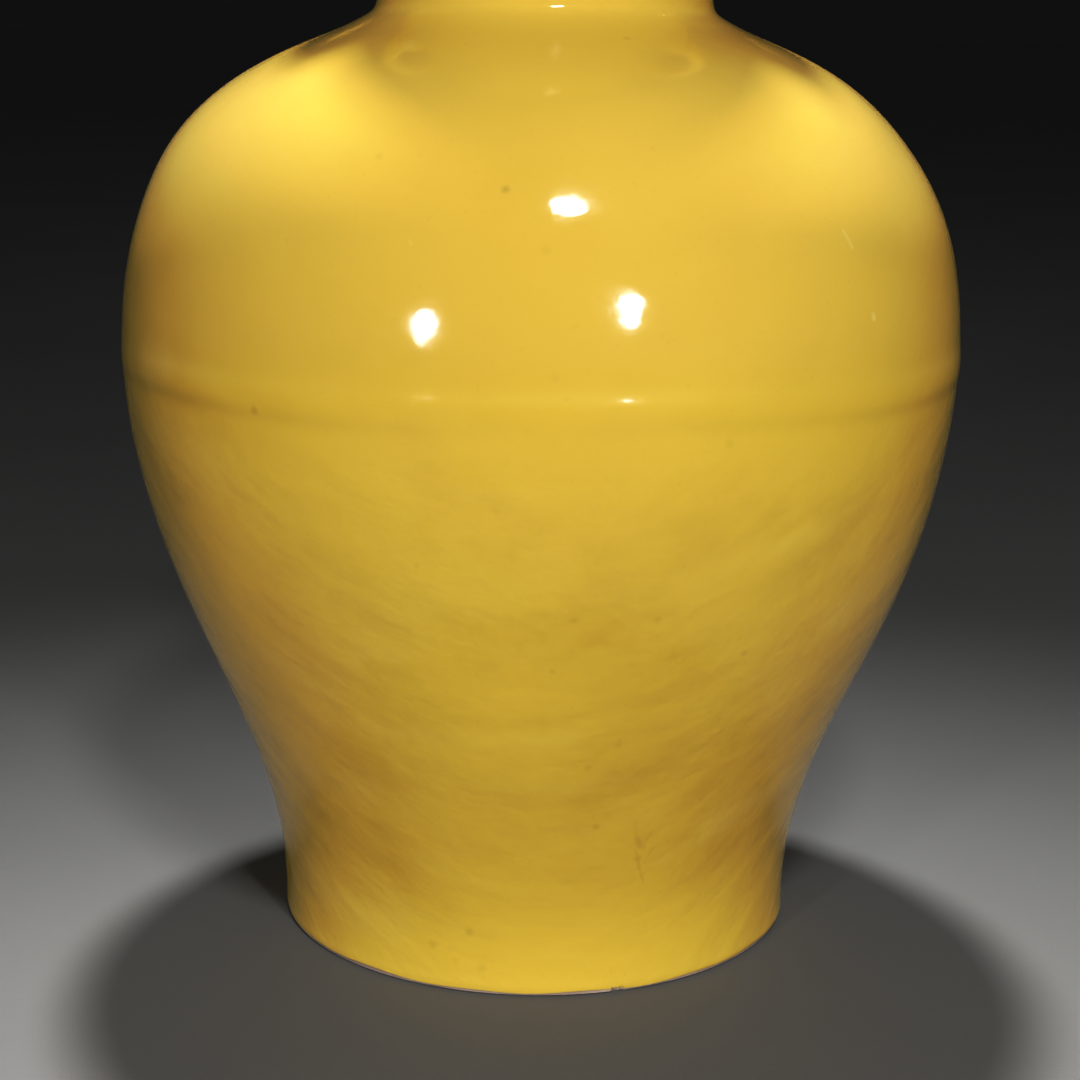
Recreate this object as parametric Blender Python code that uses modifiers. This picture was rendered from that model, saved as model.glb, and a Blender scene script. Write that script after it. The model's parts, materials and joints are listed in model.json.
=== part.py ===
"""A glazed baluster vase with two ear-shaped handles on its neck.

The pot is thrown in sections that are luted together while the clay is firm: a turned foot ring, a base
that closes it, a lower body, a shoulder section, and the neck with its mouth. Each handle is a bent strap
between two pads, which are pressed in a mould and luted to the neck.

Metres, +Z up. The origin is the middle of the circle that the foot stands on, and the handles lie along X.
"""

import math

import bmesh
import bpy
from mathutils import Matrix, Vector

# Foot and base
FOOT_RADIUS = 0.0832
FOOT_UPRIGHT = 0.0080
FOOT_RING_HEIGHT = 0.0140
FOOT_EDGE_CHAMFER = 0.0012
BASE_THICKNESS = 0.0080
BASE_SEAT = 0.0035
BASE_EDGE_ROUNDING = 0.0025

# Body: two cubic curves that meet upright at the belly, each pulled by a share of its own rise
BELLY_RADIUS = 0.1317
BELLY_HEIGHT = 0.1882
FOOT_PULL_SHARE = 0.333
BELLY_PULL_DOWN_SHARE = 0.422
BELLY_PULL_UP_SHARE = 0.827
SHOULDER_RISE = 0.0988
SHOULDER_SLOPE = math.radians(29.4)
SHOULDER_PULL_SHARE = 0.235
BELLY_SEAM_DROP = 0.0075

# Neck and mouth
NECK_RADIUS = 0.0513
NECK_FILLET_OUT = 0.0078
NECK_FILLET_RISE = 0.0090
NECK_JOINT_RISE = 0.0055
NECK_HEIGHT = 0.1060
NECK_WAIST_DEPTH = 0.0026
NECK_WAIST_SHARE = 0.40
MOUTH_FLARE = math.radians(29.0)
MOUTH_PULL_SHARE = 0.14
LIP_OVERHANG = 0.0070
LIP_ROUNDING_HEIGHT = 0.0060

# Wall, which the potter leaves thicker low down
WALL_AT_FOOT = 0.0080
WALL_AT_LIP = 0.0055

# Handles, which stand out from the neck
HANDLE_REACH = 0.0240
HANDLE_THICKNESS = 0.0085
HANDLE_WIDTH = 0.0170
HANDLE_END_SWELL_SHARE = 1.12
HANDLE_CREST_RISE = 0.0015
HANDLE_CREST_IN = 0.0090
HANDLE_SIDE_DROP = 0.0170
UPPER_PAD_DROP = 0.0255
LOWER_PAD_RISE = 0.0290
PAD_PROUD = 0.0024
UPPER_PAD_LOBE = 0.0066
UPPER_PAD_SPREAD = 0.0072
UPPER_PAD_TIP = 0.0150
LOWER_PAD_RADIUS = 0.0115
PAD_EDGE_ROUNDING = 0.0008

# A luted joint keeps this much clear between its two faces
JOINT_GAP = 0.0003

# Glaze colours
YELLOW = (0.72, 0.46, 0.05)
WHITE = (0.80, 0.80, 0.74)
GLAZE_ROUGHNESS = 0.12

# Fineness of the turned shapes
TURN_STEPS = 64
CURVE_STEPS = 60
MERGE_DISTANCE = 0.00005

# Worked out from the sizes above
SHOULDER_RADIUS = NECK_RADIUS + NECK_FILLET_OUT
SHOULDER_HEIGHT = BELLY_HEIGHT + SHOULDER_RISE
NECK_FOOT_HEIGHT = SHOULDER_HEIGHT + NECK_FILLET_RISE
NECK_JOINT_HEIGHT = SHOULDER_HEIGHT + NECK_JOINT_RISE
LIP_RADIUS = NECK_RADIUS + LIP_OVERHANG
LIP_HEIGHT = NECK_FOOT_HEIGHT + NECK_HEIGHT
MOUTH_HEIGHT = LIP_HEIGHT + LIP_ROUNDING_HEIGHT
SEAM_HEIGHT = BELLY_HEIGHT - BELLY_SEAM_DROP
UPPER_PAD_HEIGHT = MOUTH_HEIGHT - UPPER_PAD_DROP
LOWER_PAD_HEIGHT = NECK_FOOT_HEIGHT + LOWER_PAD_RISE


def remove_everything():
    """Starts from an empty scene."""
    for thing in list(bpy.data.objects):
        bpy.data.objects.remove(thing, do_unlink=True)


def new_collection(name):
    """A collection of that name in the scene."""
    made = bpy.data.collections.new(name)
    bpy.context.scene.collection.children.link(made)
    return made


def glaze(piece, colour):
    """Gives a piece its own glossy material of one colour."""
    material = bpy.data.materials.new(piece.name + "_glaze")
    material.use_nodes = True
    shader = material.node_tree.nodes["Principled BSDF"]
    shader.inputs["Base Color"].default_value = (*colour, 1.0)
    shader.inputs["Roughness"].default_value = GLAZE_ROUGHNESS
    shader.inputs["Metallic"].default_value = 0.0
    material.diffuse_color = (*colour, 1.0)
    piece.data.materials.append(material)


def cubic(start, pull_start, pull_end, end, steps=CURVE_STEPS):
    """Points (radius, height) along a cubic curve, both ends included."""
    points = []
    for i in range(steps + 1):
        t = i / steps
        u = 1.0 - t
        weights = (u * u * u, 3 * u * u * t, 3 * u * t * t, t * t * t)
        ends = (start, pull_start, pull_end, end)
        points.append(tuple(sum(w * p[axis] for w, p in zip(weights, ends)) for axis in (0, 1)))
    return points


def outer_curve():
    """The outside of the pot from the foot ring to the lip, upwards."""
    lower_rise = BELLY_HEIGHT - FOOT_UPRIGHT
    lower = cubic(
        (FOOT_RADIUS, FOOT_UPRIGHT),
        (FOOT_RADIUS, FOOT_UPRIGHT + FOOT_PULL_SHARE * lower_rise),
        (BELLY_RADIUS, BELLY_HEIGHT - BELLY_PULL_DOWN_SHARE * lower_rise),
        (BELLY_RADIUS, BELLY_HEIGHT),
    )
    shoulder_pull = SHOULDER_PULL_SHARE * (BELLY_RADIUS - SHOULDER_RADIUS)
    shoulder = cubic(
        (BELLY_RADIUS, BELLY_HEIGHT),
        (BELLY_RADIUS, BELLY_HEIGHT + BELLY_PULL_UP_SHARE * SHOULDER_RISE),
        (
            SHOULDER_RADIUS + shoulder_pull * math.cos(SHOULDER_SLOPE),
            SHOULDER_HEIGHT - shoulder_pull * math.sin(SHOULDER_SLOPE),
        ),
        (SHOULDER_RADIUS, SHOULDER_HEIGHT),
    )
    fillet_pull = 0.6 * NECK_FILLET_OUT
    fillet = cubic(
        (SHOULDER_RADIUS, SHOULDER_HEIGHT),
        (SHOULDER_RADIUS - fillet_pull, SHOULDER_HEIGHT + fillet_pull * math.tan(SHOULDER_SLOPE)),
        (NECK_RADIUS, NECK_FOOT_HEIGHT - fillet_pull),
        (NECK_RADIUS, NECK_FOOT_HEIGHT),
        steps=CURVE_STEPS // 3,
    )
    mouth_pull = MOUTH_PULL_SHARE * NECK_HEIGHT
    neck = cubic(
        (NECK_RADIUS, NECK_FOOT_HEIGHT),
        (NECK_RADIUS - NECK_WAIST_DEPTH, NECK_FOOT_HEIGHT + NECK_WAIST_SHARE * NECK_HEIGHT),
        (
            LIP_RADIUS - mouth_pull * math.sin(MOUTH_FLARE),
            LIP_HEIGHT - mouth_pull * math.cos(MOUTH_FLARE),
        ),
        (LIP_RADIUS, LIP_HEIGHT),
    )
    return [(FOOT_RADIUS, 0.0)] + lower + shoulder[1:] + fillet[1:] + neck[1:]


def inner_curve(outer):
    """The inside of the pot: the outside moved in, square to itself, by a wall that thins upwards."""
    points = []
    for i, (radius, height) in enumerate(outer):
        before, after = outer[max(i - 1, 0)], outer[min(i + 1, len(outer) - 1)]
        along = Vector((after[0] - before[0], after[1] - before[1])).normalized()
        rise = height / LIP_HEIGHT
        wall = WALL_AT_FOOT * (1.0 - rise) + WALL_AT_LIP * rise
        points.append((radius - wall * along.y, height + wall * along.x))
    return points


def radius_at(curve, height):
    """A curve's radius at a height, between its points."""
    for low, high in zip(curve, curve[1:]):
        if low[1] <= height <= high[1]:
            share = (height - low[1]) / max(high[1] - low[1], 1e-12)
            return low[0] + share * (high[0] - low[0])
    return curve[-1][0] if height > curve[-1][1] else curve[0][0]


def stretch(curve, bottom, top, count):
    """Points of a curve between two heights, evenly spaced along it, upwards."""
    inside = [p for p in curve if bottom < p[1] < top]
    points = [(radius_at(curve, bottom), bottom)] + inside + [(radius_at(curve, top), top)]
    lengths = [0.0]
    for a, b in zip(points, points[1:]):
        lengths.append(lengths[-1] + math.dist(a, b))
    chosen = []
    for i in range(count):
        wanted = lengths[-1] * i / (count - 1)
        k = min(max(j for j, length in enumerate(lengths) if length <= wanted + 1e-12), len(points) - 2)
        share = (wanted - lengths[k]) / max(lengths[k + 1] - lengths[k], 1e-12)
        chosen.append(tuple(a + share * (b - a) for a, b in zip(points[k], points[k + 1])))
    return chosen


def turned(name, profile, collection, closed=True):
    """A solid turned about Z from a profile at +X that runs down its outer side."""
    mesh = bpy.data.meshes.new(name)
    edges = [(i, i + 1) for i in range(len(profile) - 1)]
    if closed:
        edges.append((len(profile) - 1, 0))
    mesh.from_pydata([(radius, 0.0, height) for radius, height in profile], edges, [])
    made = bpy.data.objects.new(name, mesh)
    collection.objects.link(made)
    screw = made.modifiers.new("turn", "SCREW")
    screw.axis = "Z"
    screw.steps = TURN_STEPS
    screw.render_steps = TURN_STEPS
    screw.use_merge_vertices = True
    screw.merge_threshold = MERGE_DISTANCE
    screw.use_smooth_shade = True
    return made


def wall_section(name, outer, inner, bottom, top, counts, collection):
    """One thrown section of the wall, between two level joint faces."""
    outside = stretch(outer, bottom, top, counts[0])
    inside = stretch(inner, bottom, top, counts[1])
    section = turned(name, outside[::-1] + inside, collection)
    glaze(section, YELLOW)
    return section


def make_foot_ring(outer, inner, collection):
    """The turned ring that the pot stands on, wide enough to carry the wall and the edge of the base."""
    inner_radius = radius_at(inner, FOOT_RING_HEIGHT) - BASE_SEAT
    outside = stretch(outer, FOOT_EDGE_CHAMFER, FOOT_RING_HEIGHT, 3)
    profile = outside[::-1] + [
        (FOOT_RADIUS - FOOT_EDGE_CHAMFER, 0.0),
        (inner_radius + FOOT_EDGE_CHAMFER, 0.0),
        (inner_radius, FOOT_EDGE_CHAMFER),
        (inner_radius, FOOT_RING_HEIGHT),
    ]
    ring = turned("foot_ring", profile, collection)
    glaze(ring, YELLOW)
    return ring


def make_base(inner, collection):
    """The pot's floor, seated on the foot ring and inside the lower body."""
    bottom = FOOT_RING_HEIGHT + JOINT_GAP
    top = bottom + BASE_THICKNESS
    radius = radius_at(inner, bottom) - JOINT_GAP
    profile = [(0.0, top)]
    for i in range(4):
        angle = math.radians(30.0 * i)
        inwards = BASE_EDGE_ROUNDING * (1.0 - math.sin(angle))
        down = BASE_EDGE_ROUNDING * (1.0 - math.cos(angle))
        profile.append((radius - inwards, top - down))
    profile += [(radius, bottom), (0.0, bottom)]
    base = turned("base", profile, collection, closed=False)
    glaze(base, WHITE)
    return base


def make_neck(outer, inner, collection):
    """The neck with its everted mouth and rounded lip."""
    bottom = NECK_JOINT_HEIGHT + JOINT_GAP
    outside = stretch(outer, bottom, LIP_HEIGHT, 12)
    inside = stretch(inner, bottom, LIP_HEIGHT, 9)
    centre = 0.5 * (outside[-1][0] + inside[-1][0])
    half_wall = 0.5 * (outside[-1][0] - inside[-1][0])
    lip = []
    for i in range(1, 6):
        angle = math.radians(30.0 * i)
        lip.append(
            (centre - half_wall * math.cos(angle), LIP_HEIGHT + LIP_ROUNDING_HEIGHT * math.sin(angle))
        )
    neck = turned("neck", lip + outside[::-1] + inside, collection)
    glaze(neck, YELLOW)
    return neck


def mesh_from_curve(curve_object, collection):
    """Turns a curve object into a mesh object in the same place, with its caps welded."""
    graph = bpy.context.evaluated_depsgraph_get()
    mesh = bpy.data.meshes.new_from_object(curve_object.evaluated_get(graph))
    shape = bmesh.new()
    shape.from_mesh(mesh)
    bmesh.ops.remove_doubles(shape, verts=shape.verts, dist=MERGE_DISTANCE)
    shape.to_mesh(mesh)
    shape.free()
    name = curve_object.name
    matrix = curve_object.matrix_world.copy()
    bpy.data.objects.remove(curve_object, do_unlink=True)
    made = bpy.data.objects.new(name, mesh)
    made.matrix_world = matrix
    collection.objects.link(made)
    return made


def cut_by(target, cutter):
    """Cuts the cutter's shape away from the target."""
    cut = target.modifiers.new("neck cut", "BOOLEAN")
    cut.operation = "DIFFERENCE"
    cut.solver = "EXACT"
    cut.object = cutter


def make_neck_cutter(outer, collection):
    """The neck's outside, grown by the joint gap, which shapes the backs of the pads."""
    bottom = NECK_JOINT_HEIGHT + JOINT_GAP
    side = [(radius + JOINT_GAP, height) for radius, height in stretch(outer, bottom, LIP_HEIGHT, 12)]
    profile = [(0.0, LIP_HEIGHT)] + side[::-1] + [(0.0, bottom)]
    cutter = turned("neck_cutter", profile, collection, closed=False)
    cutter.hide_render = True
    cutter.display_type = "WIRE"
    return cutter


def flat_pad(name, outline, front, height, cutter, collection):
    """A pad from a flat outline (across, up), its front square to X and its back shaped to the neck."""
    depth = PAD_PROUD + 0.25 * NECK_RADIUS
    curve = bpy.data.curves.new(name, "CURVE")
    curve.dimensions = "2D"
    curve.fill_mode = "BOTH"
    curve.extrude = 0.5 * depth
    spline = curve.splines.new("POLY")
    spline.points.add(len(outline) - 1)
    for point, (across, up) in zip(spline.points, outline):
        point.co = (across, up, 0.0, 1.0)
    spline.use_cyclic_u = True
    drawn = bpy.data.objects.new(name, curve)
    collection.objects.link(drawn)
    facing_x = Matrix(((0, 0, 1, 0), (1, 0, 0, 0), (0, 1, 0, 0), (0, 0, 0, 1)))
    drawn.matrix_world = Matrix.Translation((front - 0.5 * depth, 0.0, height)) @ facing_x
    bpy.context.view_layer.update()
    pad = mesh_from_curve(drawn, collection)
    rounding = pad.modifiers.new("rounded edge", "BEVEL")
    rounding.width = PAD_EDGE_ROUNDING
    rounding.segments = 2
    rounding.limit_method = "ANGLE"
    rounding.angle_limit = math.radians(50.0)
    cut = pad.modifiers.new("neck cut", "BOOLEAN")
    cut.operation = "DIFFERENCE"
    cut.solver = "EXACT"
    cut.object = cutter
    glaze(pad, YELLOW)
    return pad


def cloud_outline():
    """The upper pad's outline: two side lobes and a top lobe above a point, the usual cloud-head shape."""
    lobes = (
        (-UPPER_PAD_SPREAD, 0.0, 225.0, 95.0),
        (0.0, 0.75 * UPPER_PAD_SPREAD, 160.0, 20.0),
        (UPPER_PAD_SPREAD, 0.0, 85.0, -45.0),
    )
    points = []
    for across, up, first, last in lobes:
        for i in range(7):
            angle = math.radians(first + (last - first) * i / 6)
            points.append((across + UPPER_PAD_LOBE * math.cos(angle), up + UPPER_PAD_LOBE * math.sin(angle)))
    points.append((0.0, -UPPER_PAD_TIP))
    return points


def round_outline(radius, count=20):
    """A circle's points."""
    angles = [2 * math.pi * i / count for i in range(count)]
    return [(radius * math.cos(angle), radius * math.sin(angle)) for angle in angles]


def strap_knots(upper_front, lower_front):
    """The strap's centre line: (out, up), the pulls before and after it, and the swell at each knot."""
    out = NECK_RADIUS + HANDLE_REACH - 0.5 * HANDLE_THICKNESS
    start = (upper_front + JOINT_GAP, UPPER_PAD_HEIGHT)
    crest = (out - HANDLE_CREST_IN, UPPER_PAD_HEIGHT + HANDLE_CREST_RISE)
    side = (out, crest[1] - HANDLE_SIDE_DROP)
    end = (lower_front + JOINT_GAP, LOWER_PAD_HEIGHT)
    rising = 0.55 * (crest[0] - start[0])
    crest_pull = 0.70 * HANDLE_CREST_IN
    side_pull_up = 0.65 * HANDLE_SIDE_DROP
    side_pull_down = 0.50 * (side[1] - end[1])
    end_pull = 0.60 * (side[0] - end[0])
    return [
        (start, (-rising, 0.0), (rising, 0.0), HANDLE_END_SWELL_SHARE),
        (crest, (-rising, 0.0), (crest_pull, 0.0), 1.0),
        (side, (0.0, side_pull_up), (0.0, -side_pull_down), 1.0),
        (end, (end_pull, 0.0), (-end_pull, 0.0), HANDLE_END_SWELL_SHARE),
    ]


def make_strap(name, upper_front, lower_front, collection):
    """The handle's bent strap: a round bar along a smooth curve, widened across to its section."""
    knots = strap_knots(upper_front, lower_front)
    curve = bpy.data.curves.new(name, "CURVE")
    curve.dimensions = "3D"
    curve.bevel_depth = 0.5 * HANDLE_THICKNESS
    curve.bevel_resolution = 2
    curve.resolution_u = 8
    curve.use_fill_caps = True
    spline = curve.splines.new("BEZIER")
    spline.bezier_points.add(len(knots) - 1)
    for point, ((out, up), before, after, swell) in zip(spline.bezier_points, knots):
        point.co = (out, 0.0, up)
        point.handle_left_type = "FREE"
        point.handle_right_type = "FREE"
        point.handle_left = (out + before[0], 0.0, up + before[1])
        point.handle_right = (out + after[0], 0.0, up + after[1])
        point.radius = swell
    drawn = bpy.data.objects.new(name, curve)
    collection.objects.link(drawn)
    bpy.context.view_layer.update()
    strap = mesh_from_curve(drawn, collection)
    strap.data.transform(Matrix.Diagonal((1.0, HANDLE_WIDTH / HANDLE_THICKNESS, 1.0, 1.0)))
    strap.data.shade_smooth()
    strap.data.set_sharp_from_angle(angle=math.radians(40.0))
    glaze(strap, YELLOW)
    return strap


def make_handle(side, turn, outer, cutter, collection):
    """One handle: strap, cloud-headed upper pad and round lower pad, turned about Z to its side."""
    upper_front = radius_at(outer, UPPER_PAD_HEIGHT + UPPER_PAD_LOBE) + PAD_PROUD
    lower_front = radius_at(outer, LOWER_PAD_HEIGHT) + PAD_PROUD
    cloud, disc = cloud_outline(), round_outline(LOWER_PAD_RADIUS)
    holder = bpy.data.objects.new(side + "_handle", None)
    collection.objects.link(holder)
    pieces = (
        flat_pad(side + "_handle_upper_pad", cloud, upper_front, UPPER_PAD_HEIGHT, cutter, collection),
        flat_pad(side + "_handle_lower_pad", disc, lower_front, LOWER_PAD_HEIGHT, cutter, collection),
        make_strap(side + "_handle_strap", upper_front, lower_front, collection),
    )
    for piece in pieces:
        piece.parent = holder
    holder.rotation_euler.z = turn


def main():
    """Builds the vase."""
    remove_everything()
    vase = new_collection("twin_handled_vase")
    cutters = new_collection("cutters")
    outer = outer_curve()
    inner = inner_curve(outer)
    make_foot_ring(outer, inner, vase)
    make_base(inner, vase)
    body_bottom = FOOT_RING_HEIGHT + JOINT_GAP
    shoulder_bottom = SEAM_HEIGHT + JOINT_GAP
    wall_section("lower_body", outer, inner, body_bottom, SEAM_HEIGHT, (12, 10), vase)
    wall_section("shoulder", outer, inner, shoulder_bottom, NECK_JOINT_HEIGHT, (17, 12), vase)
    make_neck(outer, inner, vase)
    cutter = make_neck_cutter(outer, cutters)
    make_handle("right", 0.0, outer, cutter, vase)
    make_handle("left", math.pi, outer, cutter, vase)


main()
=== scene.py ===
"""The vase dressed for its picture: fine turned skins, carved handle pads, glaze, floor, lamps and camera.

Lengths are metres. The origin is under the middle of the foot, the handles lie along X, and the camera looks
along +Y. An azimuth is in degrees from the front, positive to the right; a turn angle is from +X.
"""
import json
import math

import bpy
import numpy as np
from mathutils import Matrix, Vector

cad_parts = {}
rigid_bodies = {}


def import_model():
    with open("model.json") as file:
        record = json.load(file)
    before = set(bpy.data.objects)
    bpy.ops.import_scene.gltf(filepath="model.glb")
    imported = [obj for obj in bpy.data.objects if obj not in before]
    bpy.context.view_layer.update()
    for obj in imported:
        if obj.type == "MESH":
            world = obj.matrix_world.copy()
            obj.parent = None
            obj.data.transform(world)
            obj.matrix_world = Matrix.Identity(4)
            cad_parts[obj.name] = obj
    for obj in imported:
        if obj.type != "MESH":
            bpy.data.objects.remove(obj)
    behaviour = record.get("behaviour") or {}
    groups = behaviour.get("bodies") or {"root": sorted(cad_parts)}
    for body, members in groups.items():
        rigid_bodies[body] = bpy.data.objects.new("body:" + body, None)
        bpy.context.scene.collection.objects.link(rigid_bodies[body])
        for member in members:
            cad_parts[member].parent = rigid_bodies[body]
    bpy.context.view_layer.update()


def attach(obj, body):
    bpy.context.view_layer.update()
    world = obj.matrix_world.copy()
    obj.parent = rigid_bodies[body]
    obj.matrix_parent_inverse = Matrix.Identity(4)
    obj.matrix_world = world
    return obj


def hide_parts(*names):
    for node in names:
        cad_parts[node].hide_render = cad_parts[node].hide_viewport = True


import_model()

MM = 0.001
SEGMENTS = 360
FOOT_SEGMENTS = 900
BASE_SEGMENTS = 240
SHARP_EDGE = math.radians(38.0)

# The pot's sizes, as its solids have them
FOOT_RADIUS = 83.2 * MM
FOOT_UPRIGHT = 8.0 * MM
RING_HEIGHT = 14.0 * MM
BASE_TOP = 22.3 * MM
BELLY_RADIUS = 131.7 * MM
BELLY_HEIGHT = 188.2 * MM
SEAM_HEIGHT = 180.7 * MM
SHOULDER_RADIUS = 59.1 * MM
SHOULDER_HEIGHT = 287.0 * MM
SHOULDER_SLOPE = math.radians(29.4)
NECK_RADIUS = 51.3 * MM
NECK_FOOT = 296.0 * MM
NECK_JOINT = 292.65 * MM
NECK_HEIGHT = 106.0 * MM
LIP_RADIUS = 58.3 * MM
LIP_HEIGHT = NECK_FOOT + NECK_HEIGHT
LIP_ROUNDING = 6.0 * MM
WALL_AT_FOOT = 8.0 * MM
WALL_AT_LIP = 5.5 * MM

# How far the curves of its outside are pulled at their ends, as shares of their heights or reaches
FOOT_PULL = 0.333
BELLY_PULL_DOWN = 0.422
BELLY_PULL_UP = 0.827
SHOULDER_PULL = 0.235
FILLET_PULL = 0.6
NECK_PULL = 0.40
LIP_PULL = 0.14
NECK_WAIST = 2.6 * MM
LIP_FLARE = math.radians(29.0)

# The handles' sizes
STRAP_WIDTH = 17.0 * MM
STRAP_THICKNESS = 8.5 * MM
STRAP_OUT = NECK_RADIUS + 24.0 * MM - 0.5 * STRAP_THICKNESS
CREST_RISE = 1.5 * MM
CREST_IN = 9.0 * MM
SIDE_DROP = 17.0 * MM
UPPER_PAD_Z = 382.5 * MM
LOWER_PAD_Z = 325.0 * MM
PAD_PROUD = 2.4 * MM
LOBE = 6.6 * MM
SPREAD = 7.2 * MM
TIP = 15.0 * MM
LOWER_PAD_RADIUS = 11.5 * MM
UPPER_PAD_REACH = 10.5 * MM

# The seam's band, above the joint: the place, wander, height and softness of the ledge at its foot and of the
# drop at its top, how it fades above, and its two beads as azimuth and height
LEDGE_AT, LEDGE_WANDER, LEDGE_HEIGHT, LEDGE_SOFT = 1.6 * MM, 0.45 * MM, 0.36 * MM, 1.2 * MM
DROP_AT, DROP_WANDER, DROP_HEIGHT, DROP_SOFT = 9.9 * MM, 0.20 * MM, 0.44 * MM, 1.35 * MM
BAND_FADE = 26 * MM
BEADS = ((-13.0, 0.115 * MM), (10.2, 0.145 * MM))
BEAD_HALF_ANGLE = 3.0

# The heights where the throwing and the glaze change
WORKED_BELOW = 172 * MM
GROOVE_HEIGHT = 290.3 * MM
COLLAR_HEIGHT = 293.5 * MM
# Thick glaze at the neck's foot, deepened as painted shade of the neck's shadow on the shoulder: its middle
# and where it stops
NECK_POOL_AND_SHADE_HEIGHT = 285 * MM
NECK_POOL_AND_SHADE_END = 288.5 * MM
NECK_RINGS_FROM = 322 * MM

# The glazes' tones: two for each body, and what mixes into them or multiplies them
YELLOW_TONES = (0.735, 0.497, 0.076), (0.700, 0.464, 0.068)
STAIN_TONE = (0.44, 0.265, 0.032)
# Painted sheen: the shoulder's glaze made paler and bluer above the seam
SHOULDER_SHEEN_TINT = (1.0, 1.005, 1.26)
# Painted sheen on the shoulder's sides, where the lamp behind lights them
LIT_SIDES_SHEEN_TINT = (0.98, 1.045, 1.60)
# Olive of thick glaze, also used for painted shade
THICK_GLAZE_AND_SHADE_TONE = (0.41, 0.263, 0.028)
# Painted light
PAINTED_LIGHT_TONE = (0.90, 0.612, 0.095)
# Lemon of thin glaze, also used for painted light
THIN_GLAZE_AND_LIGHT_TONE = (0.90, 0.72, 0.24)
GRAIN_TONE = (0.36, 0.20, 0.02)
# Painted light of the front's pale bands
PAINTED_BAND_LIGHT_TONE = (0.95, 0.75, 0.24)
SPECK_TONE = (0.17, 0.10, 0.02)
# Painted glints, and a pale dot
PALE_MARK_AND_GLINT_TONE = (0.95, 0.80, 0.36)
WHITE_TONES = (0.79, 0.80, 0.74), (0.72, 0.75, 0.68)
WHITE_SPECK_TONE = (0.22, 0.15, 0.08)
CLAY_TONES = (0.60, 0.50, 0.43), (0.47, 0.37, 0.31)
GRIT_TONE = (0.22, 0.15, 0.11)
FLOOR_TONES = (0.180, 0.180, 0.178), (0.166, 0.166, 0.164)

# Heights between which the yellow glaze's looks fade in, among them painted sheen on the shoulder and painted
# light at the foot, and an area of painted light on the front
WORKED_FADE = (0.196, 0.160)
SHOULDER_SHEEN_FADE = (0.184, 0.206)
LIT_SIDES_SHEEN_FADES = (0.215, 0.252), (0.282, 0.270)
PAINTED_FOOT_LIGHT_FADE = (0.044, 0.004)
PAINTED_LIGHT_PATCH = (-4.0, 91.0)
PAINTED_LIGHT_PATCH_REACH = 0.042

YELLOW_IOR = 1.44
WHITE_IOR = 1.50
FLOOR_RADIUS = 60.0

# The camera: place, tip down and lean to one side, and lens in pixels of the frame's width
CAMERA_PLACE = (0.48 * MM, -0.700, 0.2865)
CAMERA_TIP = math.radians(13.17)
CAMERA_LEAN = math.radians(0.72)
FOCAL_PIXELS = 2199.0
FRAME_PIXELS = 1080.0
SENSOR_WIDTH = 36.0

# The front lamps: direction as azimuth and elevation, the azimuth and height where each shines back to the
# camera, width and height, and watts
LAMP_DISTANCE = 1.5
FRONT_LAMPS = {
    "lamp_top": ((10.5, 49.5), (3.6, 240.9), (0.20, 0.24), 11.6),
    "lamp_left": ((-29.5, 8.5), (-13.4, 211.0), (0.135, 0.25), 5.9),
    "lamp_right": ((23.0, 13.0), (10.2, 211.0), (0.110, 0.25), 9.3),
}
FRONT_LAMPS_AIM = (0.0, 0.0, 0.2)
REAR_LAMP_PLACE = (-0.060, 0.68, 2.07)
REAR_LAMP_AIM = (0.0, -0.35, 0.0)
REAR_LAMP_SIZE = (0.25, 0.25)
REAR_LAMP_WATTS = 3.2
REAR_LAMP_SPREAD = 36.0

# The room's grey and its strength, which rises from the floor's level to well above
ROOM_TONE = (0.80, 0.80, 0.80, 1.0)
ROOM_LIGHT = {"From Min": 0.02, "From Max": 0.65, "To Min": 0.0128, "To Max": 0.055}

# The picture's contrast, as points of its tone curve
CONTRAST = (
    (0.10, 0.055),
    (0.15, 0.088),
    (0.20, 0.132),
    (0.26, 0.20),
    (0.33, 0.295),
    (0.42, 0.405),
    (0.55, 0.55),
    (0.66, 0.67),
    (0.75, 0.783),
    (0.85, 0.888),
)


def cubic(start, pull_start, pull_end, end, count):
    """Points along a cubic curve, both ends included, as an array."""
    t = np.linspace(0.0, 1.0, count)[:, None]
    u = 1.0 - t
    a, b, c, d = (np.array(p, float) for p in (start, pull_start, pull_end, end))
    return u**3 * a + 3 * u * u * t * b + 3 * u * t * t * c + t**3 * d


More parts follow.
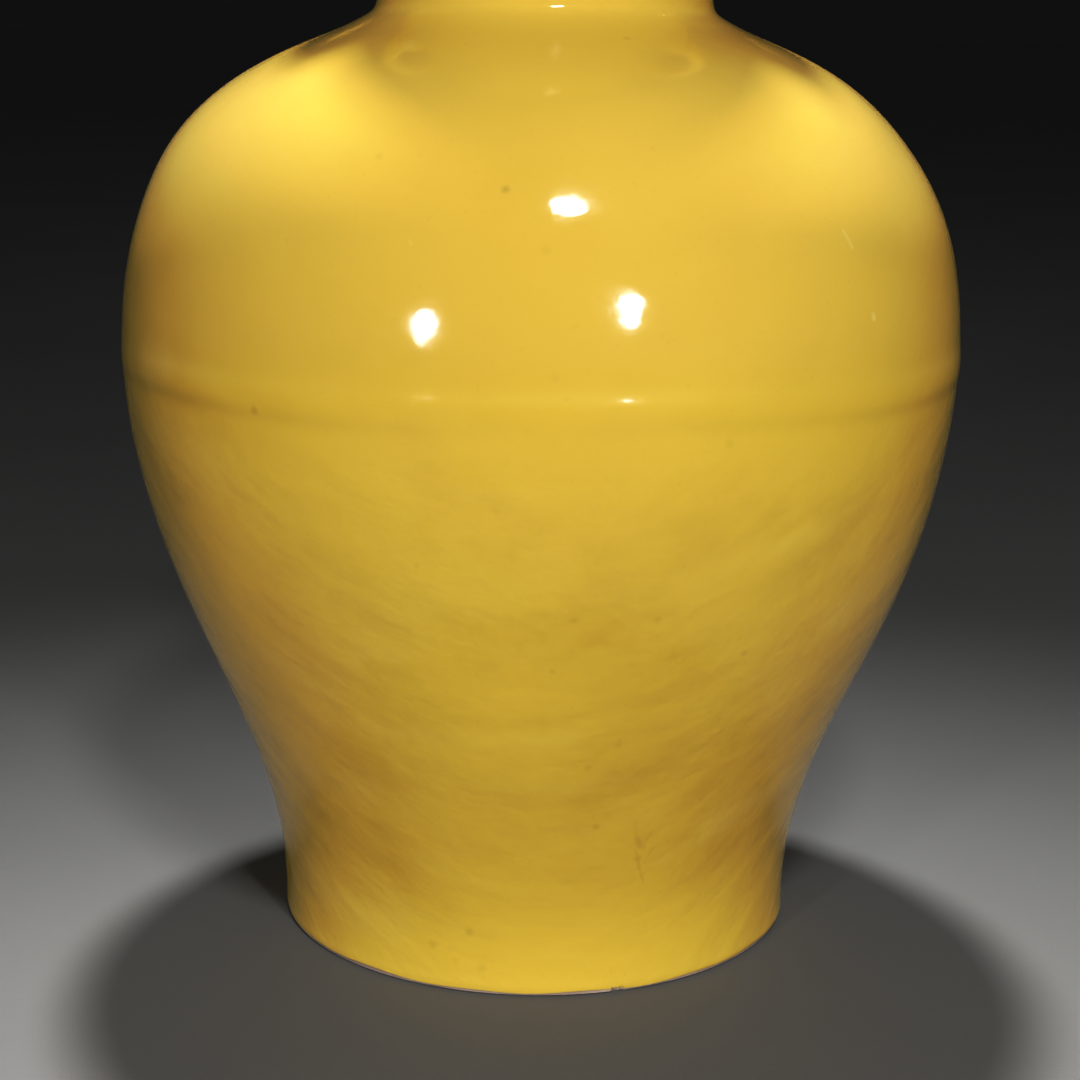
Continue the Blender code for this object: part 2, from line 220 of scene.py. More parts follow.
def outline():
    """The pot's outside (radius, height) from the foot to the lip, upwards."""
    rise = BELLY_HEIGHT - FOOT_UPRIGHT
    lower = cubic(
        (FOOT_RADIUS, FOOT_UPRIGHT),
        (FOOT_RADIUS, FOOT_UPRIGHT + FOOT_PULL * rise),
        (BELLY_RADIUS, BELLY_HEIGHT - BELLY_PULL_DOWN * rise),
        (BELLY_RADIUS, BELLY_HEIGHT),
        400,
    )
    top = SHOULDER_HEIGHT - BELLY_HEIGHT
    pull = SHOULDER_PULL * (BELLY_RADIUS - SHOULDER_RADIUS)
    shoulder = cubic(
        (BELLY_RADIUS, BELLY_HEIGHT),
        (BELLY_RADIUS, BELLY_HEIGHT + BELLY_PULL_UP * top),
        (
            SHOULDER_RADIUS + pull * math.cos(SHOULDER_SLOPE),
            SHOULDER_HEIGHT - pull * math.sin(SHOULDER_SLOPE),
        ),
        (SHOULDER_RADIUS, SHOULDER_HEIGHT),
        400,
    )
    pull = FILLET_PULL * (SHOULDER_RADIUS - NECK_RADIUS)
    fillet = cubic(
        (SHOULDER_RADIUS, SHOULDER_HEIGHT),
        (SHOULDER_RADIUS - pull, SHOULDER_HEIGHT + pull * math.tan(SHOULDER_SLOPE)),
        (NECK_RADIUS, NECK_FOOT - pull),
        (NECK_RADIUS, NECK_FOOT),
        120,
    )
    pull = LIP_PULL * NECK_HEIGHT
    neck = cubic(
        (NECK_RADIUS, NECK_FOOT),
        (NECK_RADIUS - NECK_WAIST, NECK_FOOT + NECK_PULL * NECK_HEIGHT),
        (LIP_RADIUS - pull * math.sin(LIP_FLARE), LIP_HEIGHT - pull * math.cos(LIP_FLARE)),
        (LIP_RADIUS, LIP_HEIGHT),
        200,
    )
    return np.vstack([[(FOOT_RADIUS, 0.0)], lower, shoulder[1:], fillet[1:], neck[1:]])


def wall_inside(outer):
    """The inside of the wall: the outside moved in, square to itself, by a wall that thins upwards."""
    along = np.gradient(outer, axis=0)
    along /= np.linalg.norm(along, axis=1)[:, None]
    rise = np.clip(outer[:, 1] / LIP_HEIGHT, 0.0, 1.0)
    wall = WALL_AT_FOOT * (1.0 - rise) + WALL_AT_LIP * rise
    return np.stack([outer[:, 0] - wall * along[:, 1], outer[:, 1] + wall * along[:, 0]], axis=1)


OUTER = outline()
INNER = wall_inside(OUTER)


def radius_at(curve, height):
    """A curve's radius at a height or an array of heights."""
    return np.interp(height, curve[:, 1], curve[:, 0])


def waves(turn, height, seed, count, turns, lengths):
    """A smooth random relief round the pot, near -1 to 1 and the same on each run."""
    draw = np.random.RandomState(seed)
    total = 0.0
    for _ in range(count):
        rounds = draw.randint(turns[0], turns[1] + 1) * draw.choice((-1, 1))
        pitch = 2 * math.pi / draw.uniform(*lengths)
        total = total + np.cos(rounds * turn + pitch * height + draw.uniform(0, 2 * math.pi))
    return total / math.sqrt(count)


def bell(value, centre, width):
    """A smooth hump of height 1."""
    return np.exp(-(((value - centre) / width) ** 2))


def step_up(value, width):
    """A smooth step from 0 to 1."""
    return 1.0 / (1.0 + np.exp(-np.clip(value / width, -30, 30)))


def azimuth_of(turn):
    """Turn angles as azimuths, in degrees from the front."""
    return np.degrees(np.arctan2(np.cos(turn), -np.sin(turn)))


def around(turn, seed, count, turns):
    """A smooth random value round the pot, the same at every height of a row."""
    return waves(turn, 0.0 * turn, seed, count, turns, (1.0, 2.0))


def relief(turn, height):
    """How far the outside stands off the plain turned shape, and how thick the glaze lies there (-1 to 1);
    the glaze's value also carries painted shade and painted light.

    The seam is a low band: a ledge at its foot, clearest at the sides, and a soft drop at its top.
    """
    wander = around(turn, 11, 6, (1, 5))
    sideways = np.cos(turn) ** 2
    under = height - SEAM_HEIGHT - (LEDGE_AT + LEDGE_WANDER * wander)
    over = height - SEAM_HEIGHT - (DROP_AT + DROP_WANDER * wander)
    depth = 0.35 + 0.80 * np.sqrt(sideways) + 0.22 * around(turn, 12, 6, (1, 6))
    drop = 0.85 + 0.25 * around(turn, 13, 7, (2, 9))
    offset = LEDGE_HEIGHT * depth * step_up(under, LEDGE_SOFT) - DROP_HEIGHT * drop * step_up(over, DROP_SOFT)
    offset = offset * np.exp(-np.maximum(over, 0.0) / BAND_FADE)
    for azimuth, rise in BEADS:
        bead = bell(azimuth_of(turn), azimuth, BEAD_HALF_ANGLE) * bell(over, -1.6 * MM, 2.2 * MM)
        offset = offset + rise * bead
    low = 1.0 - step_up(height - WORKED_BELOW, 7 * MM)
    lumps = waves(turn, height, 21, 10, (1, 5), (60 * MM, 160 * MM))
    patches = waves(turn, height, 23, 9, (2, 7), (30 * MM, 90 * MM))
    patches = np.clip(0.4 + 1.1 * patches, 0.0, 2.2)
    rings = patches * waves(turn, height - 45 * MM * sideways, 22, 9, (0, 2), (9 * MM, 24 * MM))
    offset = offset + 0.10 * MM * lumps * (0.5 + 0.9 * low)
    offset = offset + 0.011 * MM * rings * (0.4 + 1.0 * low)
    lean = 0.7 * MM * bell(height, 105 * MM, 32 * MM) - 1.0 * MM * bell(height, 256 * MM, 18 * MM)
    offset = offset + lean * np.cos(turn)
    offset = offset - 0.70 * MM * bell(height, GROOVE_HEIGHT, 2.5 * MM)
    offset = offset + 0.42 * MM * bell(height, COLLAR_HEIGHT, 7 * MM)
    # darker glaze at the ledge's foot, part thick glaze and part painted shade; paler glaze at the drop's
    # top, painted light on its upward face
    pool_and_painted_shade = 0.40 * depth**2 * bell(under, 0.2 * MM, 2.4 * MM)
    pool_and_painted_shade = pool_and_painted_shade - 0.15 * drop**2 * bell(over, 0.3 * MM, 2.6 * MM)
    # thick glaze in the neck's corner, deepened as painted shade where the neck shades the shoulder
    neck_pool_and_shade = bell(height, NECK_POOL_AND_SHADE_HEIGHT, 13 * MM) * (1.0 - step_up(height - NECK_POOL_AND_SHADE_END, 1.0 * MM))
    pool_and_painted_shade = pool_and_painted_shade + 0.42 * neck_pool_and_shade
    return offset, pool_and_painted_shade - 0.03 * rings * (0.3 + low)


def spaced(low, high, step, fine=()):
    """Heights from low to high about a step apart, with finer steps near the given heights."""
    heights = [low]
    while heights[-1] < high:
        here = heights[-1]
        scale = min([1.0] + [max(0.15, abs(here - z) / reach) for z, reach in fine])
        heights.append(here + step * scale)
    heights = np.array(heights)
    return low + (heights - low) * (high - low) / (heights[-1] - low)


def run_length(points):
    """The length along a line of points, at each of them."""
    return np.concatenate([[0.0], np.cumsum(np.linalg.norm(np.diff(points, axis=0), axis=1))])


def along_curve(curve, low, high, step, fine=()):
    """Points of a curve between two heights, about a step apart along it."""
    inside = curve[(curve[:, 1] > low) & (curve[:, 1] < high)]
    points = np.vstack([[(radius_at(curve, low), low)], inside, [(radius_at(curve, high), high)]])
    length = run_length(points)
    marks = [(np.interp(z, points[:, 1], length), reach) for z, reach in fine]
    wanted = spaced(0.0, length[-1], step, marks)
    return np.stack([np.interp(wanted, length, points[:, axis]) for axis in (0, 1)], axis=1)


def new_mesh(name, points, faces, materials, face_material=None, pool_and_painted_shade=None):
    """A smooth closed mesh object with its materials and its glaze thickness, which also carries painted
    shade and painted light.
    """
    mesh = bpy.data.meshes.new(name)
    mesh.from_pydata([tuple(p) for p in points], [], faces)
    for material in materials:
        mesh.materials.append(material)
    if face_material is not None:
        mesh.polygons.foreach_set("material_index", face_material)
    if pool_and_painted_shade is not None:
        glaze = mesh.attributes.new("pool_and_painted_shade", "FLOAT", "POINT")
        glaze.data.foreach_set("value", np.asarray(pool_and_painted_shade, np.float32))
    mesh.shade_smooth()
    mesh.set_sharp_from_angle(angle=SHARP_EDGE)
    mesh.update()
    piece = bpy.data.objects.new(name, mesh)
    bpy.context.scene.collection.objects.link(piece)
    return piece


def ring_faces(rows, segments, closed):
    """The quads of rows of points round the axis, turned so that they face away from the clay."""
    faces = []
    for i in range(rows if closed else rows - 1):
        a, b = i * segments, ((i + 1) % rows) * segments
        for j in range(segments):
            k = (j + 1) % segments
            faces.append((a + j, a + k, b + k, b + j))
    return faces


def capped(rows, segments, last):
    """The faces of rows of points that the first point and the last one close."""
    faces = [tuple(1 + i for i in face) for face in ring_faces(rows, segments, False)]
    after = [(j + 1) % segments for j in range(segments)]
    faces += [(0, 1 + k, 1 + j) for j, k in enumerate(after)]
    start = last - segments
    return faces + [(last, start + j, start + k) for j, k in enumerate(after)]


def turned(name, profile, materials, row_material, shape, segments=SEGMENTS):
    """A closed turned body from a profile (radius, height) that runs up its outside and down its inside.

    shape(turn, radius, height, glaze, row) moves a row's points and gives their glaze thickness, which in
    places also carries painted shade and painted light.
    """
    turn = np.linspace(0.0, 2 * math.pi, segments, endpoint=False)
    points, pools_and_painted_shade = [], []
    for row, (radius, height) in enumerate(profile):
        plain = np.full(segments, radius), np.full(segments, height), np.zeros(segments)
        r, z, pool_and_painted_shade = shape(turn, *plain, row)
        points.append(np.stack([r * np.cos(turn), r * np.sin(turn), z], axis=1))
        pools_and_painted_shade.append(pool_and_painted_shade)
    faces = ring_faces(len(profile), segments, True)
    kinds = np.repeat(np.array(row_material), segments)
    return new_mesh(name, np.vstack(points), faces, materials, kinds, np.concatenate(pools_and_painted_shade))


class Graph:
    """Adds nodes to one material and links them."""

    def __init__(self, name):
        self.material = bpy.data.materials.new(name)
        self.material.use_nodes = True
        self.tree = self.material.node_tree
        self.shader = self.tree.nodes["Principled BSDF"]
        self.coords = self.tree.nodes.new("ShaderNodeTexCoord").outputs["Object"]
        split = self.tree.nodes.new("ShaderNodeSeparateXYZ")
        self.tree.links.new(self.coords, split.inputs["Vector"])
        self.x, self.y, self.z = split.outputs

    def put(self, socket, value):
        """Links a node's output to a socket, or sets the socket's own value."""
        if hasattr(value, "is_output"):
            self.tree.links.new(value, socket)
        elif isinstance(value, tuple) and len(value) == 3 and socket.type == "RGBA":
            socket.default_value = (*value, 1.0)
        else:
            socket.default_value = value

    def add(self, kind, inputs, output=0, **settings):
        """A node with its settings and inputs; gives one of its outputs."""
        made = self.tree.nodes.new(kind)
        for key, value in settings.items():
            setattr(made, key, value)
        for key, value in inputs.items():
            self.put(made.inputs[key], value)
        return made.outputs[output]

    def math(self, operation, a, b=0.0, c=0.0, clamp=False):
        """A sum or product of up to three values."""
        made = self.tree.nodes.new("ShaderNodeMath")
        made.operation = operation
        made.use_clamp = clamp
        for socket, value in zip(made.inputs, (a, b, c)):
            self.put(socket, value)
        return made.outputs[0]

    def noise(self, scale, detail=2.0, stretch=(1.0, 1.0, 1.0), roughness=0.5, shift=0.0, coords=None):
        """Noise over the object's own coordinates, or over given ones."""
        moved = self.add(
            "ShaderNodeMapping",
            {"Vector": coords or self.coords, "Scale": stretch, "Location": (shift, shift, shift)},
        )
        return self.add(
            "ShaderNodeTexNoise",
            {"Vector": moved, "Scale": scale, "Detail": detail, "Roughness": roughness},
        )

    def fade(self, value, low, high, to_low=0.0, to_high=1.0):
        """A smooth change from one value to another as a value goes from low to high."""
        return self.add(
            "ShaderNodeMapRange",
            {"Value": value, "From Min": low, "From Max": high, "To Min": to_low, "To Max": to_high},
            interpolation_type="SMOOTHSTEP",
        )

    def mix(self, share, a, b, blend="MIX"):
        """One colour blended into another by a share."""
        made = self.tree.nodes.new("ShaderNodeMix")
        made.data_type = "RGBA"
        made.blend_type = blend
        self.put(made.inputs["Factor"], share)
        self.put(made.inputs[6], a)
        self.put(made.inputs[7], b)
        return made.outputs[2]

    def bump(self, height, distance, normal=None):
        """The surface's normal, tilted by a height, on top of another bump if one is given."""
        inputs = {"Height": height, "Distance": distance, "Strength": 1.0}
        if normal is not None:
            inputs["Normal"] = normal
        return self.add("ShaderNodeBump", inputs)

    def vector(self, operation, a, b, output=0):
        """A sum, product or measure of two vectors."""
        return self.add("ShaderNodeVectorMath", {0: a, 1: b}, output, operation=operation)

    def near(self, point, reach):
        """1 at a point of the surface, falling softly to 0 at that reach from it."""
        return self.fade(self.vector("DISTANCE", self.coords, point, "Value"), reach, 0.0)

    def stroke(self, start, end, reach):
        """1 along a short line on the surface, falling softly to 0 at that reach from it."""
        start, end = Vector(start), Vector(end)
        way = end - start
        reached = self.vector("SUBTRACT", self.coords, start)
        along = self.vector("DOT_PRODUCT", reached, way / way.dot(way), "Value")
        along = self.math("ADD", along, 0.0, clamp=True)
        scaled = self.add("ShaderNodeVectorMath", {0: way, "Scale": along}, operation="SCALE")
        nearest = self.vector("ADD", scaled, start)
        return self.fade(self.vector("DISTANCE", self.coords, nearest, "Value"), reach, 0.0)

    def specks(self, scale, channel, bar, reach, core, dark):
        """Random specks, one in each cell of a pattern whose random colour passes a bar."""
        cells = self.tree.nodes.new("ShaderNodeTexVoronoi")
        cells.inputs["Scale"].default_value = scale
        self.tree.links.new(self.coords, cells.inputs["Vector"])
        draw = self.add("ShaderNodeSeparateColor", {"Color": cells.outputs["Color"]}, channel)
        chosen = self.fade(draw, bar, bar + 0.02)
        return self.math("MULTIPLY", self.fade(cells.outputs["Distance"], reach, core, 0.0, dark), chosen)

    def tones(self, noise, low, high, tones):
        """Two tones blended by noise."""
        return self.mix(self.fade(noise, low, high), *tones)


# Pinholes and specks on the front: azimuth, height and reach in millimetres, and how dark each is
SPOTS = (
    (-4.7, 244.6, 1.9, 0.32),
    (-22.6, 251.8, 1.9, 0.13),
    (20.1, 283.3, 1.9, 0.18),
    (-36.4, 182.8, 2.1, 0.24),
    (30.3, 114.2, 1.8, 0.15),
    (8.5, 79.3, 1.9, 0.13),
    (11.1, 58.0, 1.9, 0.19),
    (-13.4, 20.1, 2.2, 0.20),
    (-21.6, 14.1, 2.3, 0.17),
    (-17.6, 13.4, 2.0, 0.07),
    (-16.5, 10.3, 1.7, 0.09),
    (-10.9, 8.5, 2.3, 0.11),
    (1.7, 196.9, 2.0, 0.08),
    (-15.2, 143.5, 1.3, 0.14),
    (4.7, 128.6, 2.0, 0.13),
    (2.1, 112.4, 1.7, 0.12),
    (12.9, 86.9, 2.2, 0.10),
    (22.8, 178.1, 2.2, 0.10),
    (15.8, 127.9, 1.7, 0.12),
    (-5.0, 160.4, 1.9, 0.08),
    (0.5, 229.6, 2.3, 0.09),
    (20.9, 49.2, 1.9, 0.14),
    (20.2, 45.1, 1.8, 0.20),
)

# A branching scratch near the foot: the two ends of each stroke, its reach and how dark it is
SCRATCH = (
    ((18.3, 58.6), (19.4, 52.6), 1.2, 0.06),
    ((19.4, 52.6), (20.4, 49.4), 1.7, 0.16),
    ((22.0, 53.4), (20.6, 49.8), 1.3, 0.07),
    ((19.5, 48.8), (20.2, 45.1), 0.8, 0.12),
    ((20.2, 45.1), (21.0, 41.2), 0.9, 0.15),
    ((21.0, 41.2), (22.2, 36.8), 0.8, 0.09),
    ((23.2, 48.2), (21.8, 43.4), 0.8, 0.08),
)

# Small pale marks on the shoulder, given in the same way: the two on the right are painted glints of side
# light, the small one on the left a pale dot
PALE_MARKS_AND_GLINTS = (
    ((41.8, 232.6), (42.7, 228.2), 1.1, 0.22),
    ((45.0, 209.3), (45.1, 208.6), 1.5, 0.40),
    ((-16.2, 231.0), (-15.9, 230.2), 0.8, 0.10),
)

# Painted shade and painted light on the front, standing for the shading of its soft dents and swells: bands
# and blotches given in the same way, dark above 0 and pale below
PAINTED_SHADE_AND_LIGHT_BANDS = (
    ((-66.0, 36.0), (-50.0, 52.0), 16.0, 0.10),
    ((-50.0, 52.0), (-30.0, 46.0), 15.0, 0.075),
    ((-30.0, 46.0), (-20.0, 27.0), 13.0, 0.10),
    ((35.0, 38.0), (60.0, 49.0), 13.0, 0.08),
    ((60.0, 49.0), (71.0, 29.0), 13.0, 0.12),
    ((-56.0, 22.0), (-32.0, 18.0), 14.0, -0.12),
    ((-44.0, 65.0), (-32.0, 66.0), 11.0, -0.09),
    ((36.0, 53.0), (57.0, 61.0), 10.0, -0.11),
    ((-28.0, 89.0), (5.0, 90.0), 8.0, -0.08),
    ((-19.0, 98.0), (1.0, 94.5), 7.0, 0.09),
    ((14.0, 78.0), (38.0, 94.0), 8.0, 0.08),
    ((36.0, 137.0), (41.0, 142.0), 16.0, 0.08),
    ((46.0, 120.0), (66.0, 140.0), 10.0, -0.11),
    ((-68.0, 236.0), (-57.0, 222.0), 14.0, 0.12),
    ((47.0, 226.0), (51.0, 228.0), 13.0, 0.08),
    ((-61.0, 190.0), (-55.0, 191.0), 11.0, -0.16),
    ((-58.0, 166.0), (-46.0, 164.0), 18.0, -0.09),
)


def on_surface(azimuth, height):
    """The point of the outside at an azimuth in degrees and a height in millimetres."""
    angle = math.radians(azimuth)
    radius = float(radius_at(OUTER, height * MM))
    return (radius * math.sin(angle), -radius * math.cos(angle), height * MM)


def yellow_glaze():
    """Warm yellow glaze: thin and lemon on edges, deep and olive where it lies thick, with pinholes and
    specks.

    Below the seam it lies over soft dents and turning marks that lean down towards the front and the back.
    Its colour also holds painted shade and light: the neck's shadow, bands over the front and the seam, a
    lighter foot, a pale sheen and glints on the shoulder.
    """
    g = Graph("yellow_glaze")
    pool_and_painted_shade = g.add("ShaderNodeAttribute", {}, "Fac", attribute_name="pool_and_painted_shade")
    across = g.math("MULTIPLY", g.x, g.x)
    sideways = g.math("DIVIDE", across, g.math("MULTIPLY_ADD", g.y, g.y, across))
    lean = g.math("MULTIPLY_ADD", sideways, -0.045, g.z)
    leaned = g.add("ShaderNodeCombineXYZ", {"X": g.x, "Y": g.y, "Z": lean})
    worked = g.fade(g.z, *WORKED_FADE, 0.22, 1.0)
    streaks = g.noise(24.0, 4.0, (1.0, 1.0, 1.8), 0.6, 3.1, leaned)
    grain = g.noise(520.0, 2.0, shift=1.7)
    colour = g.tones(g.noise(9.0, 3.0), 0.3, 0.7, YELLOW_TONES)
    stain = g.math("MULTIPLY", g.fade(streaks, 0.46, 0.74), g.math("MULTIPLY", worked, 0.24))
    colour = g.mix(stain, colour, STAIN_TONE)
    # painted sheen: the shoulder made paler and bluer above the seam
    colour = g.mix(g.fade(g.z, *SHOULDER_SHEEN_FADE), colour, SHOULDER_SHEEN_TINT, "MULTIPLY")
    # painted sheen: the shoulder's sides, lit from behind, made paler and bluer still
    high = g.math("MULTIPLY", *(g.fade(g.z, *heights) for heights in LIT_SIDES_SHEEN_FADES))
    colour = g.mix(g.math("MULTIPLY", high, sideways), colour, LIT_SIDES_SHEEN_TINT, "MULTIPLY")
    thick = g.math("MAXIMUM", pool_and_painted_shade, 0.0)
    thin = g.math("MAXIMUM", g.math("MULTIPLY", pool_and_painted_shade, -1.0), 0.0)
    # olive where the glaze lies thick; this also paints shade at the neck's foot and the seam's ledge
    colour = g.mix(g.math("MULTIPLY", thick, 0.55), colour, THICK_GLAZE_AND_SHADE_TONE)
    # painted light: lighter towards the foot, and on an area of the front below the middle
    low = g.fade(g.z, *PAINTED_FOOT_LIGHT_FADE, 0.0, 0.80)
    patch = g.math("MULTIPLY", g.near(on_surface(*PAINTED_LIGHT_PATCH), PAINTED_LIGHT_PATCH_REACH), 0.45)
    colour = g.mix(g.math("MAXIMUM", low, patch), colour, PAINTED_LIGHT_TONE)
    # lemon where the glaze lies thin; this also paints light on the seam's drop
    colour = g.mix(g.math("MULTIPLY", thin, 0.60, clamp=True), colour, THIN_GLAZE_AND_LIGHT_TONE)
    colour = g.mix(g.fade(grain, 0.62, 0.80, 0.0, 0.08), colour, GRAIN_TONE)
    behind = g.fade(g.y, -0.06, -0.03)
    specks = g.math("MULTIPLY", g.specks(42.0, "Red", 0.72, 0.080, 0.0, 0.22), behind)
    # painted shade and painted light: dark and pale bands over the front's soft dents and swells
    for start, end, reach, tone in PAINTED_SHADE_AND_LIGHT_BANDS:
        line = g.stroke(on_surface(*start), on_surface(*end), reach * MM)
        shade = THICK_GLAZE_AND_SHADE_TONE if tone > 0 else PAINTED_BAND_LIGHT_TONE
        colour = g.mix(g.math("MULTIPLY", line, abs(tone)), colour, shade)
    for azimuth, height, reach, dark in SPOTS:
        speck = g.math("MULTIPLY", g.near(on_surface(azimuth, height), reach * MM), dark)
        specks = g.math("MAXIMUM", specks, speck)
    for start, end, reach, dark in SCRATCH:
        line = g.stroke(on_surface(*start), on_surface(*end), reach * MM)
        specks = g.math("MAXIMUM", specks, g.math("MULTIPLY", line, dark))
    colour = g.mix(specks, colour, SPECK_TONE)
    # pale marks: two painted glints of side light on the right of the shoulder, and one pale dot
    for start, end, reach, pale in PALE_MARKS_AND_GLINTS:
        line = g.stroke(on_surface(*start), on_surface(*end), reach * MM)
        colour = g.mix(g.math("MULTIPLY", line, pale), colour, PALE_MARK_AND_GLINT_TONE)
    g.put(g.shader.inputs["Base Color"], colour)
    g.put(g.shader.inputs["Roughness"], g.fade(g.noise(60.0, 3.0, shift=5.0), 0.3, 0.7, 0.07, 0.12))
    g.shader.inputs["IOR"].default_value = YELLOW_IOR
    normal = g.bump(g.noise(26.0, 2.0, (1.0, 1.0, 1.8), 0.4), 0.00034)
    marks = g.noise(46.0, 3.0, (1.0, 1.0, 1.8), 0.5, 7.3, leaned)
    normal = g.bump(g.math("MULTIPLY", marks, worked), 0.00050, normal)
    dents = g.noise(105.0, 2.0, (1.0, 1.0, 1.5), 0.5, 11.7, leaned)
    normal = g.bump(g.math("MULTIPLY", dents, worked), 0.00013, normal)
    normal = g.bump(g.noise(240.0, 2.0), 0.00003, normal)
    normal = g.bump(g.math("MULTIPLY", specks, -1.0), 0.00025, normal)
    g.put(g.shader.inputs["Normal"], normal)
    return g.material


def white_glaze():
    """Clear glaze over white clay, faintly green in places, with a few specks."""
    g = Graph("white_glaze")
    colour = g.tones(g.noise(12.0, 3.0), 0.3, 0.7, WHITE_TONES)
    colour = g.mix(g.specks(55.0, "Green", 0.70, 0.05, 0.015, 0.7), colour, WHITE_SPECK_TONE)
    g.put(g.shader.inputs["Base Color"], colour)
    g.put(g.shader.inputs["Roughness"], g.fade(g.noise(60.0, 3.0, shift=2.0), 0.3, 0.7, 0.10, 0.18))
    g.shader.inputs["IOR"].default_value = WHITE_IOR
    normal = g.bump(g.noise(22.0, 2.0, (1.0, 1.0, 3.0), 0.4), 0.0005)
    normal = g.bump(g.noise(240.0, 2.0), 0.00004, normal)
    g.put(g.shader.inputs["Normal"], normal)
    return g.material


def bare_clay():
    """Bare fired clay: pale, pinkish grey and gritty, with darker stains from handling."""
    g = Graph("bare_clay")
    colour = g.tones(g.noise(45.0, 4.0), 0.35, 0.65, CLAY_TONES)
    grit = g.noise(1300.0, 2.0, shift=4.0)
    colour = g.mix(g.fade(grit, 0.62, 0.74, 0.0, 0.6), colour, GRIT_TONE)
    g.put(g.shader.inputs["Base Color"], colour)
    g.put(g.shader.inputs["Roughness"], g.fade(g.noise(200.0), 0.3, 0.7, 0.72, 0.90))
    g.put(g.shader.inputs["Normal"], g.bump(g.noise(900.0, 4.0), 0.00012))
    return g.material


YELLOW = yellow_glaze()
WHITE = white_glaze()
BARE = bare_clay()


def dress(piece, slot, *nodes):
    """Rides a finished piece on the pot, in place of its plain solid."""
    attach(piece, "root")
    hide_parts(*nodes)
    return piece


def throwing(turn, height, seed):
    """The inside's throwing rings."""
    return 0.16 * MM * waves(turn, height, seed, 7, (0, 1), (9 * MM, 22 * MM))


def make_wall(node, low, high, fine):
    """A thrown section: yellow and worked outside, white and ringed inside, with level joint faces."""
    outside = along_curve(OUTER, low, high, 1.25 * MM, fine)
    inside = along_curve(INNER, low, high, 3.5 * MM)[::-1]
    profile = np.vstack([outside, inside])
    count = len(outside)

    def shape(turn, r, z, pool_and_painted_shade, row):
        if row < count:
            offset, pool_and_painted_shade = relief(turn, z)
            return r + offset, z, pool_and_painted_shade
        return r + throwing(turn, z, 31), z, pool_and_painted_shade

    kinds = [0] * (count - 1) + [1] * (len(profile) - count + 1)
    wall = turned(node + "_skin", profile, (YELLOW, WHITE), kinds, shape)
    return dress(wall, "yellow_glaze", node)


def make_foot_ring():
    """The foot: glaze that stops in a soft wavy roll just above a bare, chipped and sanded bearing edge."""
    line_height, line_rows = 1.15, 3
    # Outside, up: height and how far out from the pot's outline, in millimetres
    rows = [(line_height, -0.30), (line_height + 0.12, -0.06), (line_height + 0.40, 0.06)]
    rows += [(1.9, 0.10), (2.6, 0.16), (3.4, 0.12), (4.6, 0.05)]
    rows += [(z, 0.0) for z in np.arange(6.0, 15.0, 1.0)]
    profile = [(float(radius_at(OUTER, z * MM)) + out * MM, z * MM) for z, out in rows]
    yellow_rows = len(profile) - 1
    inner_radius = float(radius_at(INNER, RING_HEIGHT)) - 3.5 * MM
    # Inside, down, then the bearing face: how far out from the inner radius and height, in millimetres
    inner = [(0.0, 14.0), (0.0, 9.0), (0.0, 4.0), (0.05, 2.4)]
    bare = [(0.35, 2.0), (0.45, 0.9), (1.3, 0.05), (2.0, 0.0)]
    profile += [(inner_radius + out * MM, z * MM) for out, z in inner + bare]
    # The face's outer edge: how far in from the foot's radius and height, in millimetres
    edge = [(4.0, 0.0), (1.6, 0.0), (0.9, 0.10), (0.45, 0.45)]
    profile += [(FOOT_RADIUS - back * MM, z * MM) for back, z in edge]
    kinds = [0] * yellow_rows + [1] * len(inner) + [2] * (len(profile) - yellow_rows - len(inner))
    edge_rows = len(profile) - 2

    def shape(turn, r, z, pool_and_painted_shade, row):
        if row < line_rows:
            z = z + 0.22 * MM * around(turn, 41, 9, (2, 19))
            pool_and_painted_shade = pool_and_painted_shade - (0.9, 0.5, 0.1)[row]
        elif row <= yellow_rows:
            blend = np.clip(z / RING_HEIGHT, 0.0, 1.0)
            offset, own = relief(turn, z)
            r = r + offset * blend**0.5
            pool_and_painted_shade = pool_and_painted_shade + own * blend - 0.10 * bell(z, 4 * MM, 3 * MM)
        if row < line_rows or row >= edge_rows:
            azimuth = azimuth_of(turn)
            chip = bell(azimuth, 17.6, 0.55) + 0.6 * bell(azimuth, 19.0, 0.4)
            r = r - 0.75 * MM * chip
            z = z + (0.35 if row >= edge_rows else 0.30) * MM * chip
        return r, z, pool_and_painted_shade

    ring = turned("foot_ring_skin", profile, (YELLOW, WHITE, BARE), kinds, shape, FOOT_SEGMENTS)
    return dress(ring, "foot_glaze", "foot_ring")


